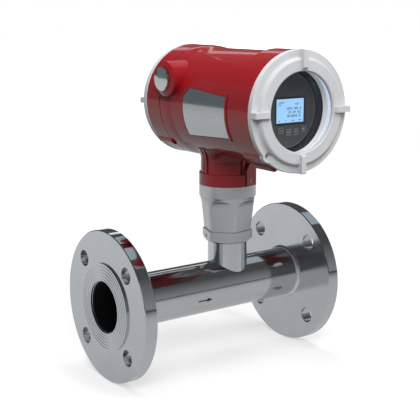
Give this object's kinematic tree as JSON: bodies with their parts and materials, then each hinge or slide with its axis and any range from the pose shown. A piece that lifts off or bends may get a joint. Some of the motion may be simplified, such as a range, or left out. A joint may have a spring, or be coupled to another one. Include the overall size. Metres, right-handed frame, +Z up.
{
  "type": "gas mass flow meter",
  "caption": "Inline flanged thermal gas mass flow meter: grooved pipe flanges, sensor stem, cast adapter and a turning red two-chamber head with a round display window.",
  "frame": {"origin": "centre of the inlet flange's bolt face, 2 mm behind its raised sealing face", "axes": "+X along the flow from inlet to outlet, +Z up along the stem, -Y the side that the display faces"},
  "size_m": [0.263, 0.215, 0.3533],
  "materials": {
    "polished_steel": "polished",
    "machined_steel": "satin",
    "weld_bead": "satin",
    "cast_adapter": "satin",
    "red_paint": "gloss",
    "grey_paint": "satin",
    "window": "clear",
    "plate": "brushed",
    "small_steel": "plain",
    "plug_metal": "satin",
    "seal_rubber": "matt",
    "pale_ring": "satin",
    "bezel_plastic": "matt",
    "screen": "lit",
    "key_rubber": "matt",
    "board_green": "lacquered",
    "brass_post": "plain",
    "block_plastic": "matt"
  },
  "bodies": {
    "meter": {"meter_tube": "polished_steel", "inlet_flange": "machined_steel", "outlet_flange": "machined_steel", "inlet_weld": "weld_bead", "outlet_weld": "weld_bead", "sensor_stem": "polished_steel", "probe_holder": "small_steel", "heated_probe": "small_steel", "reference_probe": "small_steel", "holder_seal": "seal_rubber", "adapter": "cast_adapter", "adapter_set_screws": "small_steel", "neck_seal": "seal_rubber"},
    "head": {"housing": "red_paint", "nameplate": "plate", "neck_lock_screw": "small_steel", "cover_lock_screws": "small_steel", "entry_plugs": "plug_metal", "plug_seals": "seal_rubber", "display_bezel": "bezel_plastic", "lcd_panel": "screen", "key_switches": "bezel_plastic", "display_board": "board_green", "board_screws": "small_steel", "front_posts": "brass_post", "main_board": "board_green", "middle_posts": "brass_post", "power_board": "board_green", "rear_posts": "brass_post", "feed_through": "bezel_plastic", "terminal_block": "block_plastic", "terminal_screws": "small_steel", "earth_screw": "small_steel"},
    "front_seal": {"front_cover_seal": "seal_rubber"},
    "front_lid": {"front_cover": "grey_paint", "window_glass": "window", "glass_ring": "pale_ring"},
    "rear_seal": {"rear_cover_seal": "seal_rubber"},
    "rear_lid": {"rear_cover": "grey_paint"},
    "first_key": {"key_one": "key_rubber"},
    "second_key": {"key_two": "key_rubber"},
    "third_key": {"key_three": "key_rubber"},
    "fourth_key": {"key_four": "key_rubber"}
  },
  "joints": [
    {"name": "head_turn", "type": "hinge", "parent": "meter", "child": "head", "pos_m": [0.1612, 0, 0.117], "axis": [0, 0, 1], "range_deg": [-175, 175]},
    {"name": "front_lid_travel", "type": "slide", "parent": "head", "child": "front_seal", "axis": [0, -1, 0], "range_m": [0, 0.014]},
    {"name": "front_lid_turn", "type": "hinge", "parent": "front_seal", "child": "front_lid", "pos_m": [0.1612, -0.116, 0.208], "axis": [0, -1, 0], "range_deg": [0, 2520]},
    {"name": "rear_lid_travel", "type": "slide", "parent": "head", "child": "rear_seal", "axis": [0, 1, 0], "range_m": [0, 0.014]},
    {"name": "rear_lid_turn", "type": "hinge", "parent": "rear_seal", "child": "rear_lid", "pos_m": [0.1612, 0.0705, 0.208], "axis": [0, 1, 0], "range_deg": [0, 2520]},
    {"name": "key_one_press", "type": "slide", "parent": "head", "child": "first_key", "axis": [0, 1, 0], "range_m": [0, 0.0005], "stiffness_N_per_m": 2000},
    {"name": "key_two_press", "type": "slide", "parent": "head", "child": "second_key", "axis": [0, 1, 0], "range_m": [0, 0.0005], "stiffness_N_per_m": 2000},
    {"name": "key_three_press", "type": "slide", "parent": "head", "child": "third_key", "axis": [0, 1, 0], "range_m": [0, 0.0005], "stiffness_N_per_m": 2000},
    {"name": "key_four_press", "type": "slide", "parent": "head", "child": "fourth_key", "axis": [0, 1, 0], "range_m": [0, 0.0005], "stiffness_N_per_m": 2000}
  ],
  "couplings": [
    {"joint": "front_lid_travel", "follows": "front_lid_turn", "m_per_rad": 0.0003183},
    {"joint": "rear_lid_travel", "follows": "rear_lid_turn", "m_per_rad": 0.0003183}
  ]
}
